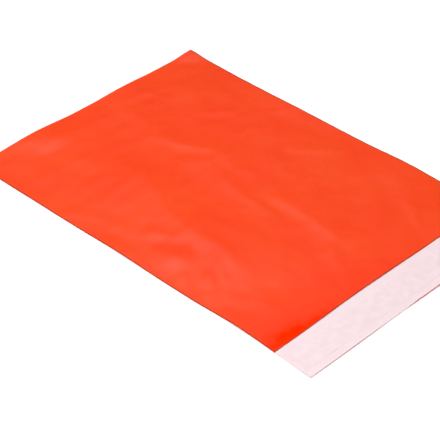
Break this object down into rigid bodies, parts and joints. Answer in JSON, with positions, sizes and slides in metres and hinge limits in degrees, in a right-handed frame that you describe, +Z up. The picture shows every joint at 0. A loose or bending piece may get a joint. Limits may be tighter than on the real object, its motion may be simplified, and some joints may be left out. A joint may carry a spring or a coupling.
{
  "type": "poly mailer bag",
  "caption": "Flat film mailing bag with side welds, a folded closed end and an open mouth, and a lip that carries an adhesive strip under a release liner.",
  "frame": {"origin": "on the surface that the bag lies on, under the middle of the bag with its lip", "axes": "+X across the bag, +Y along it from the lip and mouth to the closed fold, +Z up out of the front panel"},
  "size_m": [0.3077, 0.4525, 0.0031],
  "materials": {
    "film": "satin blown polyethylene film, orange-red outside and white inside",
    "adhesive": "pale hot-melt adhesive",
    "liner": "thin translucent release film"
  },
  "bodies": {
    "root": {"film_bag": "film", "adhesive_strip": "adhesive", "release_liner": "liner"}
  },
  "joints": []
}
